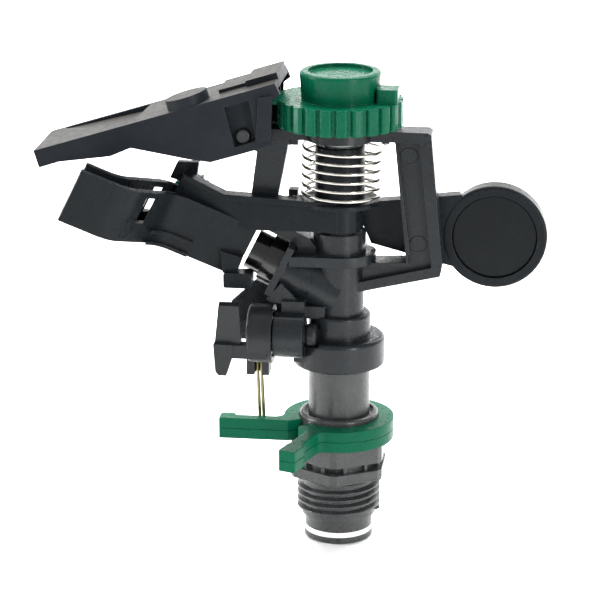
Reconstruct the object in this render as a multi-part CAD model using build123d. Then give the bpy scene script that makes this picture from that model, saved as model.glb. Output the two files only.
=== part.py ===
from build123d import *
import os
from math import atan2, cos, degrees, hypot, radians, sin, tan

# Plastic impact (impulse) sprinkler head, in millimetres.
# Origin: on the swivel axis, at the shoulder under the hexagon where the riser stops.
# +Z is up along the swivel axis, the jet leaves towards -X, and the arm swings out towards -Y.

# --- Driving dimensions: base ---
THREAD_OD = 20.955          # 1/2 inch pipe thread, major diameter
THREAD_PITCH = 25.4 / 14    # 14 threads per inch
THREAD_DEPTH = 1.16
THREAD_TOP = -1.2
THREAD_BOTTOM = -10.8
PILOT_R = 8.5
PILOT_BOTTOM = -14.0
HEX_AF = 22.8
HEX_CORNER_R = 12.7
LOWER_HEX_TOP = 2.7
GROOVE_TOP = 4.7
GROOVE_R = 9.6
UPPER_HEX_TOP = 9.2
NECK_R = 9.9
NECK_TOP = 16.2
SLEEVE_R = 7.7
SLEEVE_TOP = 33.6
TUBE_R = 5.5                # swivel tube, outside
FLOW_R = 4.3                # waterway
TUBE_FLANGE_R = 8.6         # retaining flange under the nipple, a little over the pilot
TUBE_FLANGE_THICK = 1.8
WASHER_THICK = 1.3
WASHER_GAP = 0.05           # above and below the wear washer
BEARING_CLEARANCE = 0.08
SPRING_POCKET_R = 6.8
SPRING_POCKET_Z = 13.0
SPRING_WASHER_THICK = 0.8
BEARING_SPRING_R = 6.1
BEARING_WIRE_R = 0.45
BEARING_TURNS = 8
SEAL_R = 7.2
SEAL_THICK = 1.0

# --- Driving dimensions: collars ---
COLLAR_THICK = 2.6
LOWER_COLLAR_Z = 9.4
UPPER_COLLAR_Z = 12.1
COLLAR_R = 13.8
COLLAR_BORE_R = NECK_R + 0.05
EAR_REACH = 29.6
FRONT_EAR_ANGLE = 250.0
FRONT_EAR_REACH = 30.0
COLLAR_GAP_ANGLE = 218.0    # middle of the C-shaped collar's gap
COLLAR_GAP_HALF = 11.0
EAR_ROOT_R = 2.2

# --- Driving dimensions: body ---
SKIRT_R = 11.35
SKIRT_BORE_R = 8.5
SKIRT_Z = 28.8
SKIRT_TOP = 36.3
STEP_R = 7.8
STEP_TOP = 42.1
COLUMN_R = 6.1
JET_ANGLE = 26.3            # the barrel's rise above horizontal
JET_Z = 46.7                # where the barrel's axis meets the swivel axis
BARREL_R = 6.6
FLANGE_T = 14.9             # along the barrel's axis, to the back of the square flange
FLANGE_THICK = 1.7
PLATE_Z = 55.3
PLATE_TOP = 57.8
BOSS_R = 6.5
BOSS_TOP = 63.0
BRIDGE_HALF_Y = 3.5
BRIDGE_TOP = 88.7
BRIDGE_BAR_Z = 86.1
EJECTOR_R = 2.1             # round moulding marks on the right leg
SKIRT_CEILING = SKIRT_TOP - 1.3
NOZZLE_SHANK_R = 5.0
NOZZLE_COLLAR_R = 6.0
NOZZLE_TIP_R = 5.2
NOZZLE_BORE_R = 2.3
NOZZLE_TIP_T = 24.4         # along the barrel's axis
SEAL_GROOVE_R = 4.3

# --- Driving dimensions: arm ---
PIN_R = 1.6
BUSH_R = 2.8
HUB_R = 5.85
POST_R = 6.15
POST_TOP = 84.7
ARM_Z = 63.4
SEAT_R = 9.9
SEAT_Z = 70.0
SEAT_TOP = 71.2
ARM_SPRING_R = 9.45
ARM_SPRING_WIRE_R = 0.4
ARM_SPRING_TURNS = 6.5      # left-handed, from the seat's left side up to the bar's right
WEIGHT_X = 37.9
WEIGHT_Y = 6.8              # the cup's front face clears the back of the bridge's leg
WEIGHT_Z = 61.1
WEIGHT_R = 12.95
WEIGHT_THICK = 5.6
WALL = 1.6                  # spoon vanes
VANE_TOP = 6.8              # above the jet's axis, square to it
VANE_BOTTOM = -7.0
VANE_START = 25.5           # along the jet from the swivel axis
VANE_END = 68.7
CHANNEL_WIDTH = 6.2         # between the vanes' middle lines
BACK_VANE_START = 38.0
RAIL_REACH = 1.0            # how far the front vane's two rails stand out
RAIL_END = 48.0             # along the jet, where the rails stop at the bend
RAIL_HEIGHTS = ((-3.7, -2.85), (VANE_BOTTOM, -6.1))
COVER_R = 10.5
COVER_DEPTH = 1.9
SLUG_R = 9.2
BREAKER_X = -37.4
BREAKER_Z = 70.9
BREAKER_WHEEL_R = 4.0
BREAKER_TEETH = 14
BREAKER_PIN_R = 1.6
BREAKER_REAR_Y = 3.0        # the wheel's front face, behind the rear vane
BREAKER_TIP_Y = -4.0        # the pin's end, just inside the channel

# --- Driving dimensions: knob and flap ---
KNOB_R = 15.4
KNOB_Z = 89.7
KNOB_RING_TOP = 96.1
KNOB_TOP = 103.0
KNOB_TEETH = 24
CAP_R = 10.0
SPIGOT_R = 5.0
SPIGOT_TOP = 98.2
CAM_REACH = 16.8
CAM_FALL = 1.40             # drop of the cam's radius over the knob's travel
KNOB_TRAVEL = 120.0
HINGE_X = -22.6
HINGE_Z = 88.0
HINGE_PIN_R = 1.75
FLAP_HALF_Y = 10.8
FLAP_NOSE_X = -74.0
FLAP_NOSE_Z = 83.3
FLAP_TAIL_X = -14.7
FLAP_SLOPE = 17.1           # the top face's rise
POCKET_DEPTH = 2.4          # the side pockets round the hinge pin's ends
POCKET_WALL = 1.2

# --- Driving dimensions: trip mechanism ---
TRIP_Y = -8.5
TRIP_Z = 38.2
DRUM_R = 7.3
DRUM_CUP_R = 5.9
TRIP_BOSS_R = 5.8
AXLE_R = 2.4
WIRE_R = 0.44
SHIELD_Y = 0.4              # front face of the web behind the trip lever
SHIELD_THICK = 2.0
SHIELD = [(-11.0, 47.0), (-17.2, 47.6), (-21.0, 49.2), (-27.2, 43.4), (-25.4, 33.6), (-22.2, 33.6), (-15.0, 40.6)]
WIRE_X = -19.3
WIRE_LEAN = 15.6            # from vertical, in the forward trip position
WIRE_TIP_DROP = 28.6

RUN = 0.06                  # radial clearance of running fits

jet_cos = cos(radians(JET_ANGLE))
jet_sin = sin(radians(JET_ANGLE))
jet_origin = (0, 0, JET_Z)
# Across the jet: x towards the front (-Y), y up and square to the jet, z along the jet.
jet_plane = Plane(origin=jet_origin, x_dir=(0, -1, 0), z_dir=(-jet_cos, 0, jet_sin))
# Looking down on the channel: x along the jet, y towards the front, z up and square to the jet.
channel_plane = Plane(origin=jet_origin, x_dir=(-jet_cos, 0, jet_sin), z_dir=(jet_sin, 0, jet_cos))


def rod(radius, z0, z1, x=0, y=0):
    """Upright cylinder between two heights."""
    return Pos(x, y, z0) * extrude(Circle(radius), z1 - z0)


def tube(outer, inner, z0, z1):
    """Upright tube between two heights."""
    return Pos(0, 0, z0) * extrude(Circle(outer) - Circle(inner), z1 - z0)


def block(x0, x1, y0, y1, z0, z1):
    """Box between two corners."""
    return Pos((x0 + x1) / 2, (y0 + y1) / 2, (z0 + z1) / 2) * Box(x1 - x0, y1 - y0, z1 - z0)


def rod_y(radius, x, z, y0, y1):
    """Cylinder along Y."""
    return extrude(Plane(origin=(x, y0, z), z_dir=(0, 1, 0)) * Circle(radius), y1 - y0)


def rod_x(radius, y, z, x0, x1):
    """Cylinder along X."""
    return extrude(Plane(origin=(x0, y, z), z_dir=(1, 0, 0)) * Circle(radius), x1 - x0)


def side_plate(points, y0, y1):
    """Plate whose outline is in the XZ plane, between two places along Y."""
    outline = make_face(Polyline(*[(x, 0, z) for x, z in points], close=True))
    return extrude(Pos(0, y0, 0) * outline, y1 - y0, dir=(0, 1, 0))


def jet_rod(radius, t0, t1):
    """Cylinder on the jet's axis, between two distances from the swivel axis."""
    return extrude(jet_plane * (Pos(0, 0, t0) * Circle(radius)), t1 - t0)


def jet_block(t0, t1, y0, y1, w0, w1):
    """Box square to the jet: t along it, y towards the front, w up."""
    middle = Pos((t0 + t1) / 2, (y0 + y1) / 2, (w0 + w1) / 2)
    return channel_plane * (middle * Box(t1 - t0, y1 - y0, w1 - w0))


def coil(radius, wire, z0, z1, turns, lefthand=False, start=0):
    """Round-wire helix between two heights of its wire's centre, from a start angle."""
    height = z1 - z0
    turn = Helix(pitch=height / turns, height=height, radius=radius, lefthand=lefthand)
    path = Pos(0, 0, z0) * Rot(0, 0, start) * turn
    section = Plane(origin=path @ 0, z_dir=path % 0) * Circle(wire)
    return sweep(section, path=path, is_frenet=True)


# ---------------------------------------------------------------- base

def hexagon(z0, z1):
    """Hexagon with one corner facing the front, its corners turned to a circle."""
    prism = Pos(0, 0, z0) * extrude(RegularPolygon(HEX_AF / 2, 6, major_radius=False, rotation=30), z1 - z0)
    return prism & rod(HEX_CORNER_R, z0, z1)


def thread_ridge():
    """Helical ridge of the pipe thread, a little sunk into its core."""
    core = THREAD_OD / 2 - THREAD_DEPTH
    height = THREAD_TOP - THREAD_BOTTOM - THREAD_PITCH
    path = Pos(0, 0, THREAD_BOTTOM + THREAD_PITCH / 2) * Helix(THREAD_PITCH, height, core)
    sunk = 0.25
    half_foot = THREAD_PITCH * 0.46
    half_crest = THREAD_PITCH * 0.10
    foot_x = core - sunk
    z0 = THREAD_BOTTOM + THREAD_PITCH / 2
    crest_x = THREAD_OD / 2
    outline = Polyline(
        (foot_x, 0, z0 - half_foot), (crest_x, 0, z0 - half_crest),
        (crest_x, 0, z0 + half_crest), (foot_x, 0, z0 + half_foot), close=True)
    return sweep(make_face(outline), path=path, is_frenet=True)


def threaded_nipple():
    core_r = THREAD_OD / 2 - THREAD_DEPTH
    body = rod(PILOT_R, PILOT_BOTTOM, THREAD_BOTTOM)
    body += rod(core_r, THREAD_BOTTOM, 0)
    body += Pos(0, 0, THREAD_TOP) * extrude(Circle(core_r), -THREAD_TOP, taper=-40)
    body += hexagon(0, LOWER_HEX_TOP)
    body += rod(GROOVE_R, LOWER_HEX_TOP, GROOVE_TOP)
    body += hexagon(GROOVE_TOP, UPPER_HEX_TOP)
    neck = rod(NECK_R, UPPER_HEX_TOP, NECK_TOP)
    body += fillet(neck.edges().group_by(Axis.Z)[-1], 0.8)
    body += rod(SLEEVE_R, NECK_TOP, SLEEVE_TOP)
    rib_radius = HEX_AF / 2 - 0.5
    for n in range(12):
        rib = block(GROOVE_R - 1, rib_radius, -0.45, 0.45, LOWER_HEX_TOP, GROOVE_TOP)
        body += Rot(0, 0, 30 * n + 15) * rib
    body += thread_ridge()
    body -= rod(TUBE_R + BEARING_CLEARANCE, PILOT_BOTTOM, SLEEVE_TOP)
    body -= rod(SPRING_POCKET_R, SPRING_POCKET_Z, SLEEVE_TOP)
    body -= rod(SEAL_R, PILOT_BOTTOM, PILOT_BOTTOM + SEAL_THICK)
    # moulding recess round the neck's mouth, where the sleeve rises
    body -= tube(SLEEVE_R + 1.0, SLEEVE_R, NECK_TOP - 0.8, NECK_TOP)
    return body


def seal_washer():
    return tube(SEAL_R - 0.05, TUBE_R + 0.15, PILOT_BOTTOM, PILOT_BOTTOM + SEAL_THICK)


def collar(z0):
    """C-shaped friction collar with two ears, closed on the neck by its own spring."""
    ring = Circle(COLLAR_R) - Circle(COLLAR_BORE_R)
    left_ear = Pos((-EAR_REACH - COLLAR_BORE_R) / 2, -4.75) * Rectangle(EAR_REACH - COLLAR_BORE_R, 2.9)
    tip = Pos(-EAR_REACH + 1.9, -4.0) * RectangleRounded(3.8, 4.4, 1.0)
    front_length = FRONT_EAR_REACH - COLLAR_BORE_R
    bar = Pos(COLLAR_BORE_R + front_length / 2, 0) * Rectangle(front_length, 3.0)
    pad = Pos(FRONT_EAR_REACH - 3.0, 0.5) * RectangleRounded(6.0, 4.4, 0.6)
    front_ear = Rot(0, 0, FRONT_EAR_ANGLE) * (bar + pad)
    outline = ring + left_ear + tip + front_ear
    past = 20
    gap_ends = (radians(COLLAR_GAP_ANGLE - COLLAR_GAP_HALF), radians(COLLAR_GAP_ANGLE + COLLAR_GAP_HALF))
    gap = Polyline((0, 0), *[(past * cos(a), past * sin(a)) for a in gap_ends], close=True)
    outline -= make_face(gap)
    outline -= Circle(COLLAR_BORE_R)
    solid = extrude(Pos(0, 0, z0) * outline, COLLAR_THICK)
    # round the ears' roots, but leave the gap's own corners sharp
    gap_reach = COLLAR_GAP_HALF + 7
    for edge in solid.edges().filter_by(Axis.Z):
        place = edge.center()
        turn = degrees(atan2(place.Y, place.X)) % 360
        at_rim = 12.5 < hypot(place.X, place.Y) < 14.6
        if at_rim and abs(turn - COLLAR_GAP_ANGLE) > gap_reach:
            solid = fillet(solid.edges().sort_by_distance(place)[0], EAR_ROOT_R)
    return solid


def bearing_spring():
    """Compression spring between the nipple's pocket and the skirt's ceiling, clear of the ceiling."""
    low = SPRING_POCKET_Z + SPRING_WASHER_THICK + BEARING_WIRE_R
    high = SKIRT_CEILING - BEARING_WIRE_R - 0.1
    return coil(BEARING_SPRING_R, BEARING_WIRE_R, low, high, BEARING_TURNS)


def spring_washer():
    top = SPRING_POCKET_Z + SPRING_WASHER_THICK
    return tube(SPRING_POCKET_R - 0.2, TUBE_R + 0.2, SPRING_POCKET_Z, top)


# ---------------------------------------------------------------- rotating body

def swivel_tube():
    flange_top = PILOT_BOTTOM - WASHER_THICK - WASHER_GAP
    flange = rod(TUBE_FLANGE_R, flange_top - TUBE_FLANGE_THICK, flange_top)
    flange = fillet(flange.edges().group_by(Axis.Z)[0], 0.7)
    shank = rod(TUBE_R, flange_top, STEP_TOP - 2)
    return flange + shank - rod(FLOW_R, flange_top - 2, STEP_TOP)


def wear_washer():
    top = PILOT_BOTTOM - WASHER_GAP
    return tube(PILOT_R, TUBE_R + 0.05, top - WASHER_THICK, top)


def column():
    """Skirt, stepped ring and the upright waterway."""
    skirt = rod(SKIRT_R, SKIRT_Z, SKIRT_TOP)
    skirt = fillet(skirt.edges().group_by(Axis.Z)[-1], 1.2)
    skirt = fillet(skirt.edges().group_by(Axis.Z)[0], 0.6)
    step = rod(STEP_R, SKIRT_TOP - 1, STEP_TOP)
    step = fillet(step.edges().group_by(Axis.Z)[-1], 0.8)
    boss = rod(BOSS_R, PLATE_TOP - 1, BOSS_TOP)
    boss = fillet(boss.edges().group_by(Axis.Z)[-1], 0.3)
    return skirt + step + rod(COLUMN_R, STEP_TOP - 1, PLATE_TOP) + boss


def barrel():
    """Nozzle barrel with its square flange and the level plate over it."""
    solid = jet_rod(BARREL_R, 0, FLANGE_T + 0.5)
    solid += jet_block(FLANGE_T, FLANGE_T + FLANGE_THICK, -8, 8, -6.6, 6.9)
    solid += block(-11.6, 1, -8, 8, PLATE_Z, PLATE_TOP)
    solid += Pos(1, 0, PLATE_Z) * extrude(Circle(8) & (Pos(4, 0) * Rectangle(8, 16)), PLATE_TOP - PLATE_Z)
    # side gussets closing the pocket between flange, plate and column
    for y in (-7.9, 6.9):
        solid += side_plate([(-17.3, 46.8), (-16.0, 45.8), (-8.6, 45.6), (-13.6, 51.0)], y, y + 1)
    solid += side_plate([(-15.4, 46.2), (-7, 44.6), (0, 42.5), (0, 56), (-11, 56)], -1.5, 1.5)
    return solid


def bridge():
    """Closed frame that holds the fulcrum pin over the barrel."""
    outer = [(-19.3, BRIDGE_TOP), (21.6, BRIDGE_TOP), (22.5, BRIDGE_TOP - 0.5), (25.6, 55.6), (25.1, 52.7), (0, 46.9), (0, 56.0), (-9.9, 57.0),
             (-10.4, 59.7), (-20.7, 64.8), (-22.3, 65.6)]
    inner = [(-12.1, BRIDGE_BAR_Z), (13.7, BRIDGE_BAR_Z), (16.8, 56.0), (4, 55.4), (-3, 55.4),
             (-7.2, 61.4), (-16.1, 65.7)]
    frame = side_plate(outer, -BRIDGE_HALF_Y, BRIDGE_HALF_Y)
    frame -= side_plate(inner, -BRIDGE_HALF_Y - 1, BRIDGE_HALF_Y + 1)
    # the right leg and lower bar are channels: a thin web with a flange along the outside
    for side in (-1, 1):
        web_cut = [(14.1, BRIDGE_BAR_Z), (19.6, BRIDGE_BAR_Z), (23.0, 54.9), (4.0, 50.3), (4.0, 58), (17.8, 58)]
        y0 = side * BRIDGE_HALF_Y
        y1 = side * (BRIDGE_HALF_Y - 1.9)
        frame -= side_plate(web_cut, min(y0, y1), max(y0, y1)) & side_plate(
            [(13.7, 90), (40, 90), (40, 40), (2, 40), (2, 54.6), (17.4, 55.2)], -5, 5)
    for x, z in ((17.1, 82.4), (19.6, 60.3)):
        frame += rod_y(EJECTOR_R, x, z, -BRIDGE_HALF_Y + 1.7, -BRIDGE_HALF_Y + 2.1)
        frame -= rod_y(EJECTOR_R - 0.25, x, z, -BRIDGE_HALF_Y + 1.6, -BRIDGE_HALF_Y + 1.8)
    return frame


def bridge_top():
    """Spigot for the knob, hinge block for the flap, and the spring's upper lug."""
    spigot = rod(SPIGOT_R, BRIDGE_TOP - 1, SPIGOT_TOP)
    spigot += Pos(0, 0, SPIGOT_TOP - 2.4) * extrude(Circle(SPIGOT_R + 0.25), 0.6)
    pad = rod(8.6, BRIDGE_BAR_Z, BRIDGE_TOP)
    hinge = side_plate([(-17.0, BRIDGE_BAR_Z), (-17.0, BRIDGE_TOP), (-19.2, 88.2), (-19.2, 90.8), (-25.8, 90.8),
                        (-25.8, 85.4), (-19.4, 83.0)], -4.5, 4.5)
    lug = block(-12.4, -ARM_SPRING_R - 0.7, -1.6, 1.6, BRIDGE_BAR_Z - 1.7, BRIDGE_BAR_Z)
    return spigot + pad + hinge + lug


def trip_bearing():
    """Bearing boss for the trip lever's axle, with its bracket up to the barrel."""
    boss = rod_x(TRIP_BOSS_R, TRIP_Y, TRIP_Z, -15.0, -7.7)
    top = block(-15.0, -7.7, TRIP_Y - 3.4, TRIP_Y + 3.4, TRIP_Z, TRIP_Z + 5.3)
    bracket = block(-13.4, -7.7, TRIP_Y - 0.6, TRIP_Y + 3.4, TRIP_Z + 2.5, JET_Z)
    web = block(-13.4, -3, -6.2, -1.6, TRIP_Z + 3.4, JET_Z - 2)
    tie = block(-10.5, -6, -8, -1, SKIRT_Z + 2, TRIP_Z - 3.4)
    shield = side_plate(SHIELD, SHIELD_Y, SHIELD_Y + SHIELD_THICK)
    return boss + top + bracket + web + tie + shield


def sprinkler_body():
    solid = column() + barrel() + bridge() + bridge_top() + trip_bearing()
    solid -= rod(SKIRT_BORE_R, SKIRT_Z, SKIRT_CEILING)
    solid -= rod(TUBE_R, SKIRT_TOP - 2, STEP_TOP - 2)
    solid -= rod(FLOW_R, SKIRT_TOP, JET_Z)
    solid -= jet_rod(FLOW_R, 0, FLANGE_T + 3)
    solid -= jet_rod(NOZZLE_SHANK_R, FLANGE_T - 6, FLANGE_T + 3)
    solid -= rod(PIN_R, PLATE_TOP - 2.5, 96)
    solid -= rod_x(AXLE_R + RUN, TRIP_Y, TRIP_Z, -16, -7)
    solid -= rod_x(3.2, TRIP_Y, TRIP_Z, -7.7, -4)
    solid -= rod_y(HINGE_PIN_R, HINGE_X, HINGE_Z, -6, 6)
    return solid


def nozzle():
    face = FLANGE_T + FLANGE_THICK
    solid = jet_rod(NOZZLE_SHANK_R, FLANGE_T - 5, face)
    collar_ring = jet_rod(NOZZLE_COLLAR_R, face, face + 3.8)
    solid += collar_ring
    solid += jet_rod(NOZZLE_TIP_R, face + 3.8, NOZZLE_TIP_T)
    solid -= jet_rod(NOZZLE_BORE_R, FLANGE_T - 6, NOZZLE_TIP_T + 1)
    cone = jet_plane * (Pos(0, 0, FLANGE_T - 1.4) * Cone(4.0, NOZZLE_BORE_R, 7.2))
    solid -= cone
    return solid - nozzle_seal_seat()


def nozzle_seal_seat():
    """Groove for the O-ring on the nozzle's shank."""
    return jet_rod(NOZZLE_SHANK_R + 1, FLANGE_T - 3.4, FLANGE_T - 1.8) - jet_rod(SEAL_GROOVE_R, FLANGE_T - 4, FLANGE_T)


def nozzle_seal():
    ring = jet_rod(NOZZLE_SHANK_R - 0.02, FLANGE_T - 3.3, FLANGE_T - 1.9)
    return ring - jet_rod(SEAL_GROOVE_R, FLANGE_T - 4, FLANGE_T)


def fulcrum_pin():
    return rod(PIN_R, PLATE_TOP - 2.5, 94.0)


# ---------------------------------------------------------------- hammer arm

def vane_line(offset):
    """The spoon's S-shaped middle line seen from above, moved back from the front vane."""
    first = (46.3, 9.4)
    second = (56.4, 24.5)
    gentle = radians(14)
    steep = atan2(second[1] - first[1], second[0] - first[0])
    mitre = offset / (1 + cos(steep - gentle))
    shift = (mitre * (sin(gentle) + sin(steep)), -mitre * (cos(gentle) + cos(steep)))
    corner_a = (first[0] + shift[0], first[1] + shift[1])
    corner_b = (second[0] + shift[0], second[1] + shift[1])
    start_t = VANE_START if offset == 0 else BACK_VANE_START
    start = (start_t, corner_a[1] - (corner_a[0] - start_t) * tan(gentle))
    end = (VANE_END, corner_b[1] + (VANE_END - corner_b[0]) * tan(gentle))
    return start, corner_a, corner_b, end


def vane(offset, w0, w1, thick=WALL, bend=9.0):
    """One curved wall of the spoon, standing square to the jet."""
    start, corner_a, corner_b, end = vane_line(offset)
    line = FilletPolyline(start, corner_a, corner_b, end, radius=bend)
    face = trace(line, thick)
    return channel_plane * (Pos(0, 0, w0) * extrude(face, w1 - w0))


def channel_floor():
    """Web that ties both vanes along their lower edge."""
    front = vane_line(0)
    back = vane_line(CHANNEL_WIDTH)
    points = [front[0], front[1], front[2], front[3], back[3], back[2], back[1], back[0],
              (VANE_START, back[0][1] - 1.0)]
    face = make_face(Polyline(*points, close=True))
    return channel_plane * (Pos(0, 0, VANE_BOTTOM) * extrude(face, 1.3))


def spoon():
    solid = vane(0, VANE_BOTTOM, VANE_TOP)
    solid += vane(CHANNEL_WIDTH, VANE_BOTTOM, VANE_TOP)
    solid += channel_floor()
    # ledge and lower rim along the front vane's straight part
    for w0, w1 in RAIL_HEIGHTS:
        solid += vane(-RAIL_REACH / 2, w0, w1, thick=WALL + RAIL_REACH) & jet_block(
            VANE_START, RAIL_END, 0, 30, w0, w1)
    # drain window through both vanes
    solid -= jet_block(50.6, 52.3, -8, 40, -1.7, 5.3)
    return solid


def arm_hub():
    hub = rod(HUB_R, ARM_Z, SEAT_Z)
    seat = rod(SEAT_R, SEAT_Z, SEAT_TOP)
    seat = fillet(seat.edges().group_by(Axis.Z)[-1], 0.4)
    post = rod(POST_R, SEAT_TOP, POST_TOP)
    post = fillet(post.edges().group_by(Axis.Z)[-1], 0.6)
    lug = block(-12.4, -ARM_SPRING_R - 0.7, -2.4, 0.4, SEAT_Z, SEAT_TOP + 2.2)
    lug += block(-12.4, -8.4, -2.4, 0.4, SEAT_Z, SEAT_TOP)
    return hub + seat + post + lug


def left_bar():
    """Bar from the hub past the front of the bridge to the spoon, with a flange along its top."""
    bar_bottom = [(-30.5, 66.9), (-27.0, 65.2), (-22.0, 63.8), (-5, 63.8), (0, 63.8)]
    bar_top = [(0, 71.6), (-27.5, 73.2), (-37.4, 78.0)]
    web = side_plate(bar_bottom + bar_top + [(-40.2, 72.6)], -6.2, -4.3)
    flange = side_plate([(0, 71.6), (0, 70.3), (-27.5, 71.9), (-37.4, 76.7), (-37.4, 78.0), (-27.5, 73.2)], -8.4, -4.3)
    # step back behind the leg to meet the rear vane
    link = jet_block(37.0, 47.5, -1.2, 6.0, VANE_TOP - 1.6, VANE_TOP)
    upper = side_plate([(-27.0, 68.0), (-27.0, 71.4), (-34.6, 74.8), (-37.4, 76.6), (-40.2, 72.6), (-38.6, 71.6)],
                       -4.4, -1.6)
    tab = side_plate([(-35.6, 73.2), (-41.9, 75.4), (-40.0, 79.4), (-34.6, 79.4)], -1.9, 0.2)
    return web + flange + link + upper + tab


def right_bar():
    """Bar past the back of the bridge to the counterweight."""
    web = side_plate([(0, 63.6), (5.2, 63.6), (7.4, 58.6), (28, 53.2), (32, 52.0), (32, 70), (29.5, 71.6),
                      (6, 69.0), (0, 69.0)], 4.1, 5.7)
    top = side_plate([(0, 67.8), (6, 67.8), (29.2, 70.4), (29.2, 71.6), (6, 69.0), (0, 69.0)], 4.1, 8.2)
    bottom = side_plate([(7.4, 58.6), (29, 53.0), (29, 54.2), (7.4, 59.8)], 4.1, 7.4)
    return web + top + bottom


def weight_disc(radius, y0, y1):
    return rod_y(radius, WEIGHT_X, WEIGHT_Z, y0, y1)


def weight_cup():
    front = WEIGHT_Y - WEIGHT_THICK / 2
    cup = weight_disc(WEIGHT_R, front, front + WEIGHT_THICK)
    return fillet(cup.edges().filter_by(GeomType.CIRCLE), 0.7)


def weight_pocket():
    front = WEIGHT_Y - WEIGHT_THICK / 2
    seat = weight_disc(COVER_R, front - 1, front + COVER_DEPTH)
    return seat + weight_disc(SLUG_R, front, front + WEIGHT_THICK - 1.0)


def striking_lug():
    """Tooth under the channel that meets the trip dog."""
    lug = block(-27.8, -20.8, -9.0, -4.4, 49.6, 53.4)
    neck = side_plate([(-28.2, 53.0), (-24.7, 53.0), (-23.2, 57.0), (-28.6, 58.6)], -7.4, -4.4)
    return fillet(lug.edges().filter_by(Axis.Y), 0.5) + neck


def hammer_arm():
    solid = arm_hub() + left_bar() + right_bar() + spoon() + weight_cup() + striking_lug()
    solid -= rod(BUSH_R, ARM_Z - 1, POST_TOP + 1)
    solid -= weight_pocket()
    solid -= rod_y(BREAKER_PIN_R + RUN, BREAKER_X, BREAKER_Z, -6, 12)
    return solid


def jet_breaker():
    """Knurled thumb wheel behind the rear vane; the flat on its pin's end turns at the edge of the jet."""
    wheel = Circle(BREAKER_WHEEL_R)
    for n in range(BREAKER_TEETH):
        wheel += Rot(0, 0, 360 / BREAKER_TEETH * n) * (Pos(BREAKER_WHEEL_R, 0) * Circle(0.55))
    plane = Plane(origin=(BREAKER_X, BREAKER_REAR_Y, BREAKER_Z), x_dir=(1, 0, 0), z_dir=(0, 1, 0))
    solid = extrude(plane * wheel, 2.4)
    solid += rod_y(BREAKER_PIN_R, BREAKER_X, BREAKER_Z, BREAKER_TIP_Y, BREAKER_REAR_Y)
    flat = block(BREAKER_X - 3, BREAKER_X + 3, BREAKER_TIP_Y, BREAKER_TIP_Y + 0.8, BREAKER_Z + 0.6, BREAKER_Z + 3)
    return solid - flat


def arm_bush(z0, z1, flange_z0, flange_z1):
    """Flanged bush between the arm and the fulcrum pin."""
    shell = rod(BUSH_R, z0, z1) + rod(BUSH_R + 1.2, flange_z0, flange_z1)
    return shell - rod(PIN_R + RUN, min(z0, flange_z0) - 1, max(z1, flange_z1) + 1)


def lower_arm_bush():
    return arm_bush(ARM_Z, ARM_Z + 8, ARM_Z - 0.35, ARM_Z)


def upper_arm_bush():
    return arm_bush(POST_TOP - 8, POST_TOP, POST_TOP, POST_TOP + 1.2)


def counterweight_slug():
    front = WEIGHT_Y - WEIGHT_THICK / 2
    return weight_disc(SLUG_R - 0.05, front + COVER_DEPTH, front + WEIGHT_THICK - 1.0)


def counterweight_cover():
    front = WEIGHT_Y - WEIGHT_THICK / 2
    cover = weight_disc(COVER_R - 0.03, front + 0.7, front + COVER_DEPTH)
    return fillet(cover.edges().filter_by(GeomType.CIRCLE).group_by(Axis.Y)[0], 0.4)


def arm_spring():
    """Left-handed torsion return spring between the arm's seat and the bridge's bar."""
    low = SEAT_TOP + ARM_SPRING_WIRE_R + 0.05
    high = BRIDGE_BAR_Z - ARM_SPRING_WIRE_R - 0.1
    return coil(ARM_SPRING_R, ARM_SPRING_WIRE_R, low, high, ARM_SPRING_TURNS, lefthand=True, start=180)


# ---------------------------------------------------------------- knob and flap

def knob_ring():
    """Knurled ring: rounded teeth on a plain rim."""
    teeth = Circle(KNOB_R - 1.1)
    for n in range(KNOB_TEETH):
        angle = 360 / KNOB_TEETH * (n + 0.5)
        teeth += Rot(0, 0, angle) * (Pos(KNOB_R - 1.3, 0) * RectangleRounded(2.6, 2.9, 0.8))
    return extrude(Pos(0, 0, KNOB_Z) * teeth, KNOB_RING_TOP - KNOB_Z)


def cam_flange():
    """Spiral rim at the ring's top that sets how far the flap's tail stands off."""
    steps = 9
    points = []
    for n in range(steps):
        share = n / (steps - 1)
        angle = radians(180 - KNOB_TRAVEL * share)
        reach = CAM_REACH - CAM_FALL * share
        points.append((reach * cos(angle), reach * sin(angle)))
    lead = radians(198)
    start = (CAM_REACH * cos(lead), CAM_REACH * sin(lead))
    spiral = Spline(*points)
    close = Polyline(points[-1], (0, 0), start, points[0])
    face = make_face(spiral + close)
    return extrude(Pos(0, 0, KNOB_RING_TOP - 1.0) * face, 1.0)


def distance_knob():
    cap = Pos(0, 0, KNOB_RING_TOP) * extrude(Circle(CAP_R - 0.5), KNOB_TOP - KNOB_RING_TOP, taper=-4.5)
    cap = fillet(cap.edges().group_by(Axis.Z)[-1], 0.8)
    cap -= rod(7.9, KNOB_TOP - 0.9, KNOB_TOP)
    solid = knob_ring() + cam_flange() + cap
    # pointer lug on top of the ring
    lug = block(9.2, 14.4, -5.6, 0.4, KNOB_RING_TOP - 0.5, KNOB_RING_TOP + 3.4)
    solid += fillet(lug.edges().filter_by(Axis.Z), 0.8)
    solid -= tube(12.6, 7.4, KNOB_Z, KNOB_RING_TOP - 1.6)
    solid -= rod(SPIGOT_R + RUN, KNOB_Z, SPIGOT_TOP + 0.6)
    solid -= rod(SPIGOT_R + 0.35, SPIGOT_TOP - 2.8, SPIGOT_TOP - 1.4)
    return solid


def flap_top(x):
    """Height of the flap's top face."""
    return FLAP_NOSE_Z + (x - FLAP_NOSE_X) * tan(radians(FLAP_SLOPE))


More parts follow.
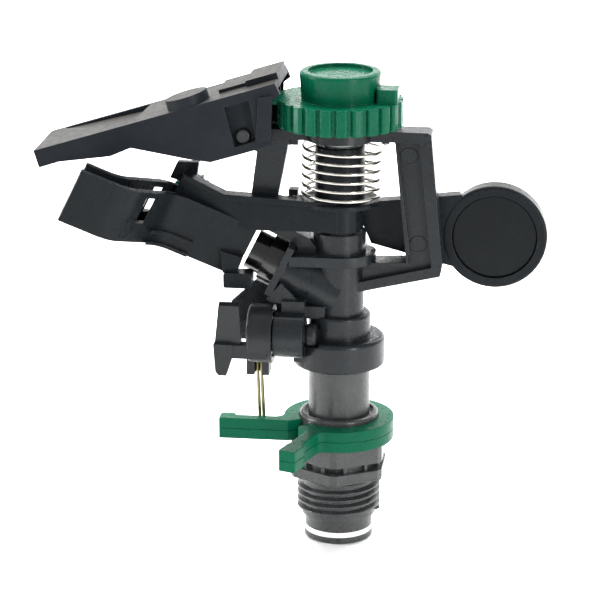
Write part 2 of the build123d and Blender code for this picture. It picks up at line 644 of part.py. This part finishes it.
def deflector_flap():
    tail_top = flap_top(FLAP_TAIL_X)
    underside = [(-15.4, 86.6), (-18.6, 85.3), (-24.7, 83.4), (-30.4, 81.7), (-35.7, 82.3), (-49.9, 84.7),
                 (-54.9, 82.5), (-67.8, 80.7), (-72.7, 79.1)]
    outline = [(FLAP_NOSE_X, FLAP_NOSE_Z), (FLAP_TAIL_X, tail_top), (-13.4, tail_top - 2.7), (-16.0, 96.9)]
    solid = side_plate(outline + underside, -FLAP_HALF_Y, FLAP_HALF_Y)
    skin = 1.6
    hollow = [(-64, flap_top(-64) - skin), (-10, flap_top(-10) - skin), (-10, 78), (-49, 78), (-50, 84.0), (-57, 81),
              (-60, 81)]
    solid -= side_plate(hollow, -FLAP_HALF_Y + skin, FLAP_HALF_Y - skin)
    solid += flap_ribs()
    solid += flap_boss()
    solid += pocket_backs()
    solid -= nose_recess()
    solid -= side_pockets()
    solid += tail_tongue()
    solid -= rod_y(HINGE_PIN_R + RUN, HINGE_X, HINGE_Z, -FLAP_HALF_Y + 0.9, FLAP_HALF_Y - 0.9)
    return solid


def flap_plane(x, y):
    """Plane lying in the flap's top face, its x rising towards the tail."""
    slope = radians(FLAP_SLOPE)
    return Plane(origin=(x, y, flap_top(x)), x_dir=(cos(slope), 0, sin(slope)), z_dir=(-sin(slope), 0, cos(slope)))


def flap_boss():
    boss = flap_plane(-36.4, -5.5) * Pos(0, 0, -1.4) * Cylinder(5.3, 5.0 + 2.8)
    pad = flap_plane(-23.5, 3.0) * Box(12.0, 12.0, 1.6)
    rear = flap_plane(-18.4, 2.2) * Box(8.0, 14.0, 3.0)
    return (boss & block(-60, 0, -30, 30, 93.2, 120)) + pad + rear


def nose_recess():
    plane = flap_plane(-60, 0)
    outline = Polyline((-11.0, 9.4), (4.6, -9.2), (10.6, -9.6), (12.2, 9.4), close=True)
    return extrude(plane * (Pos(0, 0, -2.4) * make_face(outline)), 6) & flap_nose_limit()


def flap_nose_limit():
    """The recess deepens towards the back edge and runs out at the front."""
    plane = flap_plane(-60, 0)
    wedge = Polyline((-30, 0, 8), (30, 0, 8), (30, 0, -2.2), (-30, 0, 0.6), close=True)
    return extrude(plane * Pos(0, -12, 0) * make_face(wedge), 24, dir=(0, 1, 0))


def pocket_outline(grow):
    """Corners of the slanted side pocket, moved outwards by grow and kept under the top face."""
    points = [(-26.9 - grow, 98.4 + grow), (-20.9 + grow, 100.0 + grow),
              (-19.2 + grow, 87.2 - grow), (-24.4 - grow, 85.6 - grow)]
    return [(x, min(z, flap_top(x) - 2.4 + grow)) for x, z in points]


def pocket_backs():
    """Blocks inside the side walls that the pockets are cut into."""
    depth = POCKET_DEPTH + POCKET_WALL
    front = side_plate(pocket_outline(0.9), -FLAP_HALF_Y, -FLAP_HALF_Y + depth)
    return front + side_plate(pocket_outline(0.9), FLAP_HALF_Y - depth, FLAP_HALF_Y)


def side_pockets():
    """Slanted pocket in each side round the hinge pin's end."""
    front = side_plate(pocket_outline(0), -FLAP_HALF_Y - 1, -FLAP_HALF_Y + POCKET_DEPTH)
    return front + side_plate(pocket_outline(0), FLAP_HALF_Y - POCKET_DEPTH, FLAP_HALF_Y + 1)


def flap_ribs():
    """Upright ribs outside the tail and cross ribs inside."""
    ribs = None
    for y in (-FLAP_HALF_Y - 0.9, FLAP_HALF_Y - 0.1):
        rib = side_plate([(-19.2, 87.0), (-15.6, 87.6), (-15.2, 98.6), (-18.6, 98.0)], y, y + 1.0)
        ribs = rib if ribs is None else ribs + rib
    ribs += side_plate([(-30.4, 90), (-30.4, flap_top(-30) - 1), (-31.8, flap_top(-31.8) - 1), (-31.8, 88)], -10, 10)
    return ribs


def tail_tongue():
    """Tongue that bears on the knob's cam."""
    face_x = -CAM_REACH - 0.25
    return block(face_x - 1.5, face_x, -2.2, 2.2, 92.6, flap_top(face_x) - 0.8)


def flap_hinge_pin():
    pin = rod_y(HINGE_PIN_R, HINGE_X, HINGE_Z, -FLAP_HALF_Y + 1.0, FLAP_HALF_Y - 1.0)
    return fillet(pin.edges().filter_by(GeomType.CIRCLE), 0.5)


# ---------------------------------------------------------------- trip mechanism

def trip_lever():
    drum = rod_x(DRUM_R, TRIP_Y, TRIP_Z, -21.4, -15.3)
    drum = fillet(drum.edges().filter_by(GeomType.CIRCLE).group_by(Axis.X)[0], 0.8)
    cup = rod_x(DRUM_CUP_R, TRIP_Y, TRIP_Z, -19.6, -15.3)
    axle = rod_x(AXLE_R, TRIP_Y, TRIP_Z, -20, -7.3)
    head = fillet(rod_x(2.75, TRIP_Y, TRIP_Z, -7.5, -4.6).edges().filter_by(GeomType.CIRCLE), 0.9)
    return drum + dog() + lever_bar() + wire_holder() - cup + axle + head


def dog():
    """Plate that leans out of the hammer's way, with a finger below for flipping by hand."""
    lean = radians(20.7)
    plane = Plane(origin=(0, -12.4, 36.4), x_dir=(1, 0, 0), z_dir=(0, -cos(lean), -sin(lean)))
    outline = Polyline((-29.4, 0), (-27.6, 13.0), (-22.6, 13.0), (-22.7, 0), close=True)
    return extrude(plane * make_face(outline), 1.7)


def lever_bar():
    bar = block(-28.6, -16.4, -15.0, -11.6, 33.4, 36.8)
    finger = side_plate([(-29.5, 37.0), (-29.0, 30.0), (-28.2, 29.0), (-26.3, 29.0), (-24.8, 33.6), (-24.8, 37.0)],
                        -15.4, -12.6)
    return bar + finger


def wire_holder():
    holder = block(-22.2, -16.6, -8.4, -3.2, 27.2, 33.2)
    slot = block(WIRE_X - 0.95, WIRE_X + 0.95, -9.0, -5.0, 26, 31.2)
    return holder - slot


def trip_wire():
    """Hairpin of spring wire hanging from the lever."""
    lean = radians(WIRE_LEAN)
    half = WIRE_R + 0.06
    plane = Plane(origin=(WIRE_X, TRIP_Y, TRIP_Z), x_dir=(1, 0, 0), z_dir=(0, -cos(lean), -sin(lean)))
    top = -7.4
    down = -WIRE_TIP_DROP + half
    path = Line((-half, top), (-half, down))
    path += RadiusArc((-half, down), (half, down), half)
    path += Line((half, down), (half, top))
    path = plane * path
    section = Plane(origin=path @ 0, z_dir=path % 0) * Circle(WIRE_R)
    return sweep(section, path=path)


def snap_spring():
    """Torsion spring in the drum that snaps the lever to either side."""
    wire = 0.3
    upright = coil(4.9, wire, 0.4, 3.6, 4)
    return Pos(-19.5, TRIP_Y, TRIP_Z) * Rot(0, 90, 0) * upright


PARTS = {
    "threaded_nipple": threaded_nipple,
    "seal_washer": seal_washer,
    "lower_friction_collar": lambda: collar(LOWER_COLLAR_Z),
    "upper_friction_collar": lambda: collar(UPPER_COLLAR_Z),
    "spring_washer": spring_washer,
    "bearing_spring": bearing_spring,
    "swivel_tube": swivel_tube,
    "wear_washer": wear_washer,
    "sprinkler_body": sprinkler_body,
    "nozzle": nozzle,
    "nozzle_seal": nozzle_seal,
    "fulcrum_pin": fulcrum_pin,
    "hammer_arm": hammer_arm,
    "lower_arm_bush": lower_arm_bush,
    "upper_arm_bush": upper_arm_bush,
    "counterweight_slug": counterweight_slug,
    "counterweight_cover": counterweight_cover,
    "arm_spring": arm_spring,
    "jet_breaker": jet_breaker,
    "distance_knob": distance_knob,
    "deflector_flap": deflector_flap,
    "flap_hinge_pin": flap_hinge_pin,
    "trip_lever": trip_lever,
    "trip_wire": trip_wire,
    "snap_spring": snap_spring,
}

os.makedirs("parts", exist_ok=True)
for node, make in PARTS.items():
    export_step(make(), f"parts/{node}.step")
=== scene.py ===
import math

import bpy
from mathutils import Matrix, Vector

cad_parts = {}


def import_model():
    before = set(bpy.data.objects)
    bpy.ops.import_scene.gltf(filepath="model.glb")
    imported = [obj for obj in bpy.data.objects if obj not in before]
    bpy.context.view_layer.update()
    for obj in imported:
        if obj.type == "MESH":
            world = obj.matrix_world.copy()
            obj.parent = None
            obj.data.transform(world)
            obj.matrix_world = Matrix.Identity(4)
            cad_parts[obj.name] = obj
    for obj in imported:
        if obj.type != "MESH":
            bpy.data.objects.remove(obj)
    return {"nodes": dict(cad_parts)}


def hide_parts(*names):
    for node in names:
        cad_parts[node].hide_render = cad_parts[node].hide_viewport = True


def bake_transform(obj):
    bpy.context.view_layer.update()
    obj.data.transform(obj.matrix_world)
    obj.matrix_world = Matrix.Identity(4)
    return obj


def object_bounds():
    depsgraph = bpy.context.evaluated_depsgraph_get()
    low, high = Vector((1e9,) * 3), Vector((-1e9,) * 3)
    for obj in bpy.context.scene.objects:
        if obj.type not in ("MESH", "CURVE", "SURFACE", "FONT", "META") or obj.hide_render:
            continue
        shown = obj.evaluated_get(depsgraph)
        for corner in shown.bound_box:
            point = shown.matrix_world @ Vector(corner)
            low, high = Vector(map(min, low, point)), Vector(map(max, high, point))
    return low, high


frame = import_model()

CAD_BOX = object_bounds()

MM = 0.001
NODES = frame["nodes"]

# Linear colours
CHARCOAL = (0.0100, 0.0125, 0.0145)
# Darker than the body's charcoal: painted shade for the arm's flat front faces
ARM_SHADED_CHARCOAL = (0.0065, 0.0085, 0.0100)
FLAP_CHARCOAL = (0.0115, 0.0140, 0.0175)
LEVER_CHARCOAL = (0.0095, 0.0115, 0.0128)
NIPPLE_GREY = (0.0290, 0.0315, 0.0320)
# Darker than the body's charcoal: painted shade for the cover's flat front face
COVER_SHADED_CHARCOAL = (0.0050, 0.0066, 0.0072)
PIN_GREY = (0.0230, 0.0260, 0.0280)
NOZZLE_BLACK = (0.0022, 0.0023, 0.0026)
GREEN = (0.0008, 0.0800, 0.0400)
WHITE_NYLON = (0.8800, 0.8900, 0.8900)
RUBBER_BLACK = (0.0100, 0.0100, 0.0105)
STAINLESS = (0.6400, 0.6200, 0.5800)
BRASS = (0.3100, 0.2750, 0.1350)
WIRE_TARNISH = (0.42, 0.39, 0.35)
PIN_TARNISH = (0.40, 0.38, 0.36)
BRASS_TARNISH = (0.17, 0.15, 0.09)
# Paler grey blended onto faces that point up
UPWARD_PALE = (0.052, 0.050, 0.045)
FLOOR_DARK = (0.90, 0.90, 0.90)
FLOOR_LIGHT = (0.92, 0.92, 0.92)
WHITE_LIGHT = (1, 1, 1)
WARM_LIGHT = (1.0, 0.96, 0.91)


# ---------------------------------------------------------------- node helpers

class Graph:
    """A material's node tree with short calls to add and join its nodes."""

    def __init__(self, name):
        self.material = bpy.data.materials.new(name)
        self.material.use_nodes = True
        self.tree = self.material.node_tree
        self.tree.nodes.clear()
        self.output = self.add("ShaderNodeOutputMaterial")
        self.shader = self.add("ShaderNodeBsdfPrincipled")
        self.join(self.shader, "BSDF", self.output, "Surface")
        self.place = self.add("ShaderNodeTexCoord")

    def add(self, kind, **settings):
        node = self.tree.nodes.new(kind)
        for key, value in settings.items():
            setattr(node, key, value)
        return node

    def join(self, source, out, target, into):
        self.tree.links.new(source.outputs[out], target.inputs[into])

    def noise(self, scale, detail=3.0, rough=0.55, stretch=(1, 1, 1)):
        """Noise by place on the object, scale in features per metre."""
        mapping = self.add("ShaderNodeMapping")
        mapping.inputs["Scale"].default_value = stretch
        self.join(self.place, "Object", mapping, "Vector")
        noise = self.add("ShaderNodeTexNoise")
        noise.inputs["Scale"].default_value = scale
        noise.inputs["Detail"].default_value = detail
        noise.inputs["Roughness"].default_value = rough
        self.join(mapping, "Vector", noise, "Vector")
        return noise

    def spread(self, source, out, low, high, to_low, to_high):
        """Maps a value from one range to another, clamped."""
        node = self.add("ShaderNodeMapRange")
        limits = (("From Min", low), ("From Max", high), ("To Min", to_low), ("To Max", to_high))
        for key, value in limits:
            node.inputs[key].default_value = value
        self.join(source, out, node, "Value")
        return node

    def blend(self, amount, out, first, second):
        """Colour between two, each a colour or a (node, output) pair."""
        mix = self.add("ShaderNodeMix", data_type="RGBA")
        self.join(amount, out, mix, 0)
        for socket, value in ((6, first), (7, second)):
            if isinstance(value[0], bpy.types.Node):
                self.tree.links.new(value[0].outputs[value[1]], mix.inputs[socket])
            else:
                mix.inputs[socket].default_value = (*value, 1)
        return mix

    def bump(self, source, out, strength, distance, under=None):
        node = self.add("ShaderNodeBump")
        node.inputs["Strength"].default_value = strength
        node.inputs["Distance"].default_value = distance
        self.join(source, out, node, "Height")
        if under is not None:
            self.join(under, "Normal", node, "Normal")
        return node


def scaled(colour, factor):
    return tuple(min(1.0, c * factor) for c in colour)


def edge_mask(g, radius):
    """1 on edges and 0 on faces: how far a rounded normal turns from the face's own."""
    flat, turned = 0.995, 0.86
    rounded = g.add("ShaderNodeBevel", samples=6)
    rounded.inputs["Radius"].default_value = radius
    face = g.add("ShaderNodeNewGeometry")
    dot = g.add("ShaderNodeVectorMath", operation="DOT_PRODUCT")
    g.join(rounded, "Normal", dot, 0)
    g.join(face, "Normal", dot, 1)
    return rounded, g.spread(dot, "Value", flat, turned, 0.0, 1.0)


def moulded(name, colour, rough=0.42, grain=0.10, edge=0.22, edge_highlight=1.9, mottle=0.16,
            coat=0.0, upward_pale=0.0, shine=0.30):
    """Injection-moulded plastic: eroded mould grain, mottling, fine scuffs and paler edges, which are a
    painted edge highlight.
    """
    g = Graph(name)
    shader = g.shader
    rounded, edges = edge_mask(g, edge * MM)
    cloud = g.noise(140, 4, 0.6)
    body = g.blend(g.spread(cloud, "Fac", 0.3, 0.7, 0, 1), "Result",
                   scaled(colour, 1 - mottle), scaled(colour, 1 + mottle))
    speck = g.noise(2600, 2, 0.5)
    specks = g.spread(speck, "Fac", 0.58, 0.78, 0, 0.45)
    speckled = g.blend(specks, "Result", (body, 2), scaled(colour, 1.5))
    scuff_noise = g.noise(420, 5, 0.7, stretch=(1.0, 0.35, 2.4))
    scuffs = g.spread(scuff_noise, "Fac", 0.60, 0.74, 0, 0.5)
    scuffed = g.blend(scuffs, "Result", (speckled, 2), scaled(colour, 1.7))
    # painted edge highlight: the edges turn paler, broken up by a mottling noise
    highlight_breakup = g.noise(900, 3, 0.6)
    broken = g.add("ShaderNodeMath", operation="MULTIPLY")
    g.join(edges, "Result", broken, 0)
    g.join(g.spread(highlight_breakup, "Fac", 0.32, 0.62, 0.35, 0.85), "Result", broken, 1)
    highlit_edges = g.blend(broken, "Value", (scuffed, 2), scaled(colour, edge_highlight))
    last = highlit_edges
    # faces that point up are blended towards a paler grey, more the more they point up
    if upward_pale:
        face = g.add("ShaderNodeNewGeometry")
        split = g.add("ShaderNodeSeparateXYZ")
        g.join(face, "Normal", split, 0)
        up = g.spread(split, "Z", 0.55, 0.98, 0, upward_pale)
        last = g.blend(up, "Result", (highlit_edges, 2), UPWARD_PALE)
    g.join(last, 2, shader, "Base Color")
    rough_noise = g.noise(700, 4, 0.6)
    g.join(g.spread(rough_noise, "Fac", 0.3, 0.7, rough - 0.07, rough + 0.09), "Result", shader, "Roughness")
    shader.inputs["IOR"].default_value = 1.49
    shader.inputs["Specular IOR Level"].default_value = shine
    shader.inputs["Coat Weight"].default_value = coat
    shader.inputs["Coat Roughness"].default_value = 0.18
    fine = g.bump(g.noise(5200, 2, 0.5), "Fac", grain, 0.05 * MM, under=rounded)
    wavy = g.bump(g.noise(260, 2, 0.5), "Fac", 0.10, 0.12 * MM, under=fine)
    g.join(wavy, "Normal", shader, "Normal")
    return g.material


def wire_metal(name, colour, rough, tarnish, tint, along=(1, 1, 1)):
    """Drawn wire or turned metal: fine draw lines, patchy tarnish and uneven gloss."""
    g = Graph(name)
    shader = g.shader
    patches = g.noise(520, 5, 0.62)
    body = g.blend(g.spread(patches, "Fac", 0.42, 0.70, 0, tarnish), "Result", colour, tint)
    lines = g.noise(3200, 3, 0.6, stretch=along)
    streaks = g.spread(lines, "Fac", 0.35, 0.65, 0, 0.28)
    streaked = g.blend(streaks, "Result", (body, 2), scaled(colour, 0.62))
    g.join(streaked, 2, shader, "Base Color")
    g.join(g.spread(lines, "Fac", 0.3, 0.7, rough - 0.06, rough + 0.10), "Result", shader, "Roughness")
    shader.inputs["Metallic"].default_value = 1.0
    g.join(g.bump(lines, "Fac", 0.12, 0.02 * MM), "Normal", shader, "Normal")
    return g.material


def nylon(name, colour):
    """Milky nylon with a soft, slightly translucent surface."""
    g = Graph(name)
    shader = g.shader
    cloud = g.noise(300, 3, 0.5)
    clouds = g.spread(cloud, "Fac", 0.3, 0.7, 0, 1)
    milky = g.blend(clouds, "Result", scaled(colour, 0.95), colour)
    g.join(milky, 2, shader, "Base Color")
    g.join(g.spread(g.noise(900, 3, 0.5), "Fac", 0.3, 0.7, 0.30, 0.44), "Result", shader, "Roughness")
    shader.inputs["Subsurface Weight"].default_value = 0.08
    shader.inputs["Subsurface Scale"].default_value = 0.6 * MM
    g.join(g.bump(g.noise(3600, 2, 0.5), "Fac", 0.06, 0.03 * MM), "Normal", shader, "Normal")
    return g.material


def paint(node, material):
    mesh = NODES[node].data
    mesh.materials.clear()
    mesh.materials.append(material)


# ---------------------------------------------------------------- materials

# In the calls below, the colour factor for the paler edges sets how bright the painted edge highlight is.
body_plastic = moulded("body_plastic", CHARCOAL, rough=0.30, shine=0.26)
arm_plastic = moulded("arm_plastic", ARM_SHADED_CHARCOAL, rough=0.30, edge_highlight=3.2, shine=0.12)
flap_plastic = moulded("flap_plastic", FLAP_CHARCOAL, rough=0.44, edge_highlight=2.3, upward_pale=0.75, shine=0.10)
lever_plastic = moulded("lever_plastic", LEVER_CHARCOAL, rough=0.36, edge_highlight=2.3)
nipple_plastic = moulded("nipple_plastic", NIPPLE_GREY, rough=0.29, grain=0.16,
                         edge_highlight=2.8, mottle=0.24, shine=0.45)
cover_plastic = moulded("cover_plastic", COVER_SHADED_CHARCOAL, rough=0.22, grain=0.04, mottle=0.08, shine=0.12)
pin_plastic = moulded("pin_plastic", PIN_GREY, rough=0.38)
nozzle_black = moulded("nozzle_black", NOZZLE_BLACK, rough=0.13, grain=0.02,
                       edge_highlight=1.4, mottle=0.1, coat=0.7)
collar_green = moulded("collar_green", GREEN, rough=0.30, grain=0.06, edge=0.45,
                       edge_highlight=1.25, mottle=0.07, shine=0.09)
knob_green = moulded("knob_green", GREEN, rough=0.26, grain=0.06, edge=0.35,
                     edge_highlight=1.25, mottle=0.07, shine=0.12)
rubber = moulded("rubber", RUBBER_BLACK, rough=0.7, grain=0.2, edge_highlight=1.3)
white_nylon = nylon("white_nylon", WHITE_NYLON)
stainless_wire = wire_metal("stainless_wire", STAINLESS, 0.20, 0.4, WIRE_TARNISH, along=(1, 1, 6))
stainless_pin = wire_metal("stainless_pin", STAINLESS, 0.26, 0.3, PIN_TARNISH, along=(1, 1, 8))
brass_wire = wire_metal("brass_wire", BRASS, 0.30, 0.6, BRASS_TARNISH, along=(6, 6, 1))

PAINT = {
    "threaded_nipple": nipple_plastic, "swivel_tube": nipple_plastic, "seal_washer": rubber,
    "nozzle_seal": rubber, "lower_friction_collar": collar_green, "upper_friction_collar": collar_green,
    "spring_washer": white_nylon, "wear_washer": white_nylon, "lower_arm_bush": white_nylon,
    "upper_arm_bush": white_nylon, "bearing_spring": stainless_wire, "snap_spring": stainless_wire,
    "arm_spring": stainless_wire, "fulcrum_pin": stainless_pin, "counterweight_slug": stainless_pin,
    "sprinkler_body": body_plastic, "nozzle": nozzle_black, "hammer_arm": arm_plastic,
    "counterweight_cover": cover_plastic, "jet_breaker": knob_green, "distance_knob": knob_green,
    "deflector_flap": flap_plastic, "flap_hinge_pin": pin_plastic, "trip_lever": lever_plastic,
    "trip_wire": brass_wire,
}
for node, material in PAINT.items():
    paint(node, material)


# ---------------------------------------------------------------- wire pieces

def wire(name, points, radius, sides=14):
    """Round wire along a path, with its frame carried along so that it never twists, and tapered ends."""
    verts, faces = [], []
    tangents = []
    for n in range(len(points)):
        ahead = points[min(n + 1, len(points) - 1)]
        behind = points[max(n - 1, 0)]
        tangents.append((ahead - behind).normalized())
    side = tangents[0].orthogonal().normalized()
    rings = []
    for n, point in enumerate(points):
        side = (side - tangents[n] * side.dot(tangents[n])).normalized()
        other = tangents[n].cross(side)
        rings.append((point, side.copy(), other, radius))
    first, last = rings[0], rings[-1]
    cap_length, cap_radius = radius * 0.5, radius * 0.6
    rings.insert(0, (first[0] - tangents[0] * cap_length, first[1], first[2], cap_radius))
    rings.append((last[0] + tangents[-1] * cap_length, last[1], last[2], cap_radius))
    for centre, u, v, r in rings:
        for k in range(sides):
            a = 2 * math.pi * k / sides
            verts.append(centre + (u * math.cos(a) + v * math.sin(a)) * r)
    for n in range(len(rings) - 1):
        for k in range(sides):
            a, b = n * sides + k, n * sides + (k + 1) % sides
            faces.append((a, b, b + sides, a + sides))
    faces.append(tuple(reversed(range(sides))))
    faces.append(tuple(range(len(verts) - sides, len(verts))))
    mesh = bpy.data.meshes.new(name)
    mesh.from_pydata(verts, [], faces)
    mesh.polygons.foreach_set("use_smooth", [True] * len(mesh.polygons))
    piece = bpy.data.objects.new(name, mesh)
    bpy.context.scene.collection.objects.link(piece)
    return piece


def arm_spring():
    """Left-handed torsion spring: nearly closed at the seat, open above, a tail at each end."""
    radius, wire_radius = 9.7, 0.4
    turns, steps_per_turn = 6.5, 60
    low, high = 71.75, 85.55
    closed_turns, closed_pitch = 0.7, 1.0
    lean_at_foot, lean_gained = 0.25, 0.45
    lower_tail = ((-12.3, -3.25), (-11.0, -3.15), (-10.1, -2.95), (-9.70, -2.45), (-9.55, -1.40))
    upper_tail = ((0.05, -0.9), (0.30, -1.7), (0.85, -2.2), (1.7, -2.5))
    points = [Vector((x, y, low)) for x, y in lower_tail]
    count = int(turns * steps_per_turn)
    for n in range(count + 1):
        share = n / count
        turned = share * turns
        closed_rise = min(turned, closed_turns) * closed_pitch
        open_share = max(0.0, turned - closed_turns) / (turns - closed_turns)
        open_rise = (high - low - closed_turns * closed_pitch) * open_share
        angle = math.pi - 2 * math.pi * turned
        # the coil leans a little to the right as it rises
        x = lean_at_foot + lean_gained * share + radius * math.cos(angle)
        points.append(Vector((x, radius * math.sin(angle), low + closed_rise + open_rise)))
    end = points[-1]
    points += [end + Vector((x, y, 0)) for x, y in upper_tail]
    return wire("arm_spring_wire", [p * MM for p in points], wire_radius * MM)


def trip_wire():
    """Hairpin of spring wire: two close legs round a small bend at the foot."""
    wire_radius, half_gap = 0.44, 0.50
    lean = math.radians(15.6)
    axle = Vector((-19.3, -8.5, 38.2))
    across = Vector((1, 0, 0))
    up = Vector((0, -math.sin(lean), math.cos(lean)))
    top, foot = -7.4, -28.1
    leg_steps, bend_steps = 24, 12
    outline = []
    for n in range(leg_steps + 1):
        outline.append((-half_gap, top + (foot - top) * n / leg_steps))
    for n in range(1, bend_steps):
        angle = math.pi * n / bend_steps
        outline.append((-half_gap * math.cos(angle), foot - half_gap * math.sin(angle)))
    for n in range(leg_steps + 1):
        outline.append((half_gap, foot + (top - foot) * n / leg_steps))
    points = [(axle + across * x + up * z) * MM for x, z in outline]
    return wire("trip_wire_hairpin", points, wire_radius * MM, sides=12)


def carried(piece, node, material):
    """The piece stands for a CAD node, which is hidden, and takes the given material."""
    piece.data.materials.append(material)
    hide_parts(node)
    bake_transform(piece)


carried(arm_spring(), "arm_spring", stainless_wire)
carried(trip_wire(), "trip_wire", brass_wire)


# ---------------------------------------------------------------- setting

def floor(z):
    """Plain pale sweep under and behind the object."""
    half, run, rise, bend = 2.4, 1.5, 0.6, 0.3
    steps = 24
    profile = [(-half, z), (run - bend, z)]
    for n in range(1, steps + 1):
        a = math.pi / 2 * n / steps
        profile.append((run - bend + bend * math.sin(a), z + bend * (1 - math.cos(a))))
    profile.append((run, z + rise))
    verts = [(x, y, h) for y, h in profile for x in (-half, half)]
    faces = [(2 * n, 2 * n + 1, 2 * n + 3, 2 * n + 2) for n in range(len(profile) - 1)]
    mesh = bpy.data.meshes.new("studio_floor")
    mesh.from_pydata(verts, [], faces)
    mesh.polygons.foreach_set("use_smooth", [True] * len(mesh.polygons))
    sweep = bpy.data.objects.new("studio_floor", mesh)
    bpy.context.scene.collection.objects.link(sweep)
    g = Graph("studio_floor")
    drift = g.spread(g.noise(3, 2, 0.5), "Fac", 0.3, 0.7, 0, 1)
    tone = g.blend(drift, "Result", FLOOR_DARK, FLOOR_LIGHT)
    g.join(tone, 2, g.shader, "Base Color")
    g.join(g.spread(g.noise(40, 2, 0.5), "Fac", 0.3, 0.7, 0.72, 0.82), "Result", g.shader, "Roughness")
    mesh.materials.append(g.material)


def area(name, place, size, power, colour=WHITE_LIGHT, aim=(0, 0, 0.04)):
    light = bpy.data.lights.new(name, "AREA")
    light.shape = "RECTANGLE"
    light.size, light.size_y = size
    light.energy = power
    light.color = colour
    lamp = bpy.data.objects.new(name, light)
    lamp.location = place
    lamp.rotation_euler = (Vector(aim) - Vector(place)).to_track_quat("-Z", "Y").to_euler()
    lamp.visible_camera = False
    bpy.context.scene.collection.objects.link(lamp)


def world(strength, overhead):
    """Studio surroundings: pale round the horizon and below, dimmer overhead."""
    scene_world = bpy.data.worlds.new("studio")
    scene_world.use_nodes = True
    tree = scene_world.node_tree
    background = tree.nodes["Background"]
    place = tree.nodes.new("ShaderNodeTexCoord")
    split = tree.nodes.new("ShaderNodeSeparateXYZ")
    fade = tree.nodes.new("ShaderNodeMapRange")
    fade_low, fade_high = 0.06, 0.26
    limits = (("From Min", fade_low), ("From Max", fade_high), ("To Min", strength), ("To Max", overhead))
    for key, value in limits:
        fade.inputs[key].default_value = value
    tree.links.new(place.outputs["Generated"], split.inputs[0])
    tree.links.new(split.outputs["Z"], fade.inputs["Value"])
    tree.links.new(fade.outputs["Result"], background.inputs["Strength"])
    background.inputs["Color"].default_value = (1, 1, 1, 1)
    bpy.context.scene.world = scene_world


def camera(azimuth, elevation, distance, lens, target):
    a, e = math.radians(azimuth), math.radians(elevation)
    back = Vector((math.sin(a) * math.cos(e), -math.cos(a) * math.cos(e), math.sin(e)))
    data = bpy.data.cameras.new("camera")
    data.lens = lens
    data.clip_start, data.clip_end = 0.05, 20
    cam = bpy.data.objects.new("camera", data)
    cam.location = Vector(target) + back * distance
    cam.rotation_euler = (-back).to_track_quat("-Z", "Y").to_euler()
    bpy.context.scene.collection.objects.link(cam)
    bpy.context.scene.camera = cam


MID_HEIGHT = (0, 0, 0.06)
BACKDROP_SPREAD = math.radians(110)

floor(CAD_BOX[0].z)
world(0.80, 0.62)
area("key", (-0.42, -0.06, 0.14), (0.07, 0.32), 1.7, aim=MID_HEIGHT)
area("fill", (0.30, -0.34, 0.14), (0.05, 0.30), 1.3, aim=MID_HEIGHT)
area("front", (-0.45, -0.75, 0.60), (0.3, 0.3), 0.6)
area("top", (-0.05, 0.05, 0.85), (0.5, 0.4), 0.8, WARM_LIGHT)
area("rim", (0.50, 0.75, 0.50), (0.4, 0.6), 2.5)
area("backdrop", (0.0, 0.75, 1.25), (2.2, 0.9), 46.0, aim=(0.0, 0.75, 0.0))
bpy.data.lights["backdrop"].spread = BACKDROP_SPREAD

AZIMUTH, ELEVATION, DISTANCE, LENS = 7.0, 17.0, 0.65, 157.0
LEFT_SHIFT = 9.8 * MM
TARGET_HEIGHT = 44.8 * MM
turn = math.radians(AZIMUTH)
screen_right = Vector((math.cos(turn), math.sin(turn), 0))
target = Vector((0, 0, TARGET_HEIGHT)) - LEFT_SHIFT * screen_right
camera(AZIMUTH, ELEVATION, DISTANCE, LENS, target)
bpy.context.scene.view_settings.view_transform = "Standard"
